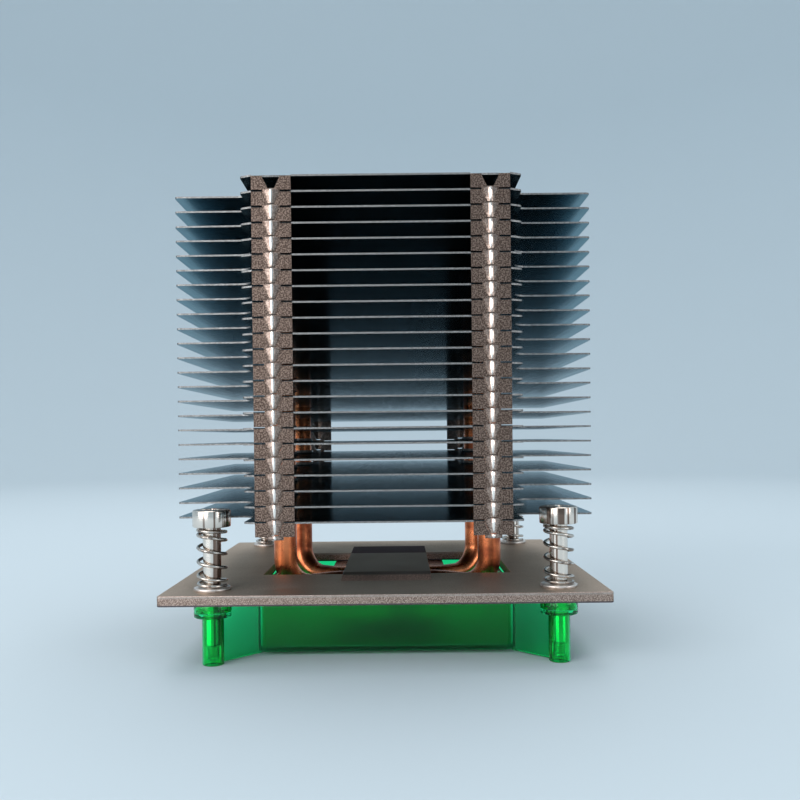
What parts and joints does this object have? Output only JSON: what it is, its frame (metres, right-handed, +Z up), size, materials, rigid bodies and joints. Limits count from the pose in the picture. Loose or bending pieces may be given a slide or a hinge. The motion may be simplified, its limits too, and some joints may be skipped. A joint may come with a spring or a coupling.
{
  "type": "passive server cpu heatsink",
  "caption": "Passive tower heatsink: stacked folded fins on copper heat pipes over a steel plate with sprung captive screws and a clear cover.",
  "frame": {"origin": "on the ground in the middle of the four feet of the cover", "axes": "+Z up the fin stack, -Y the side that the air meets first, +X to the right seen from there"},
  "size_m": [0.1014, 0.102, 0.111],
  "materials": {
    "fin_sheet": "bare rolled sheet",
    "pipe_copper": "bright copper, a little browned",
    "block_copper": "milled copper",
    "plate_steel": "dull nickel plate",
    "screw_steel": "turned and nickel-plated",
    "ring_steel": "spring steel",
    "spring_steel": "nickel-plated wire",
    "washer_steel": "stamped and nickel-plated",
    "cover_plastic": "clear green, glossy"
  },
  "bodies": {
    "heatsink": {"fin_01": "fin_sheet", "fin_02": "fin_sheet", "fin_03": "fin_sheet", "fin_04": "fin_sheet", "fin_05": "fin_sheet", "fin_06": "fin_sheet", "fin_07": "fin_sheet", "fin_08": "fin_sheet", "fin_09": "fin_sheet", "fin_10": "fin_sheet", "fin_11": "fin_sheet", "fin_12": "fin_sheet", "fin_13": "fin_sheet", "fin_14": "fin_sheet", "fin_15": "fin_sheet", "fin_16": "fin_sheet", "fin_17": "fin_sheet", "fin_18": "fin_sheet", "fin_19": "fin_sheet", "fin_20": "fin_sheet", "fin_21": "fin_sheet", "fin_22": "fin_sheet", "fin_23": "fin_sheet", "heat_pipe_front": "pipe_copper", "heat_pipe_rear": "pipe_copper", "contact_block": "block_copper", "mounting_plate": "plate_steel", "protective_cover": "cover_plastic", "spring_washers": "washer_steel", "screw_spring_front_left": "spring_steel", "screw_spring_front_right": "spring_steel", "screw_spring_rear_left": "spring_steel", "screw_spring_rear_right": "spring_steel"},
    "clip_front_left": {"retaining_ring_front_left": "ring_steel"},
    "screw_front_left": {"captive_screw_front_left": "screw_steel"},
    "clip_front_right": {"retaining_ring_front_right": "ring_steel"},
    "screw_front_right": {"captive_screw_front_right": "screw_steel"},
    "clip_rear_left": {"retaining_ring_rear_left": "ring_steel"},
    "screw_rear_left": {"captive_screw_rear_left": "screw_steel"},
    "clip_rear_right": {"retaining_ring_rear_right": "ring_steel"},
    "screw_rear_right": {"captive_screw_rear_right": "screw_steel"}
  },
  "joints": [
    {"name": "press_front_left", "type": "slide", "parent": "heatsink", "child": "clip_front_left", "axis": [0, 0, -1], "range_m": [0, 0.002], "stiffness_N_per_m": 2000, "springref_m": -0.002, "deforming": ["screw_spring_front_left"]},
    {"name": "turn_front_left", "type": "hinge", "parent": "clip_front_left", "child": "screw_front_left", "pos_m": [-0.04, -0.04, 0], "axis": [0, 0, 1], "continuous": true},
    {"name": "press_front_right", "type": "slide", "parent": "heatsink", "child": "clip_front_right", "axis": [0, 0, -1], "range_m": [0, 0.002], "stiffness_N_per_m": 2000, "springref_m": -0.002, "deforming": ["screw_spring_front_right"]},
    {"name": "turn_front_right", "type": "hinge", "parent": "clip_front_right", "child": "screw_front_right", "pos_m": [0.04, -0.04, 0], "axis": [0, 0, 1], "continuous": true},
    {"name": "press_rear_left", "type": "slide", "parent": "heatsink", "child": "clip_rear_left", "axis": [0, 0, -1], "range_m": [0, 0.002], "stiffness_N_per_m": 2000, "springref_m": -0.002, "deforming": ["screw_spring_rear_left"]},
    {"name": "turn_rear_left", "type": "hinge", "parent": "clip_rear_left", "child": "screw_rear_left", "pos_m": [-0.04, 0.04, 0], "axis": [0, 0, 1], "continuous": true},
    {"name": "press_rear_right", "type": "slide", "parent": "heatsink", "child": "clip_rear_right", "axis": [0, 0, -1], "range_m": [0, 0.002], "stiffness_N_per_m": 2000, "springref_m": -0.002, "deforming": ["screw_spring_rear_right"]},
    {"name": "turn_rear_right", "type": "hinge", "parent": "clip_rear_right", "child": "screw_rear_right", "pos_m": [0.04, 0.04, 0], "axis": [0, 0, 1], "continuous": true}
  ]
}
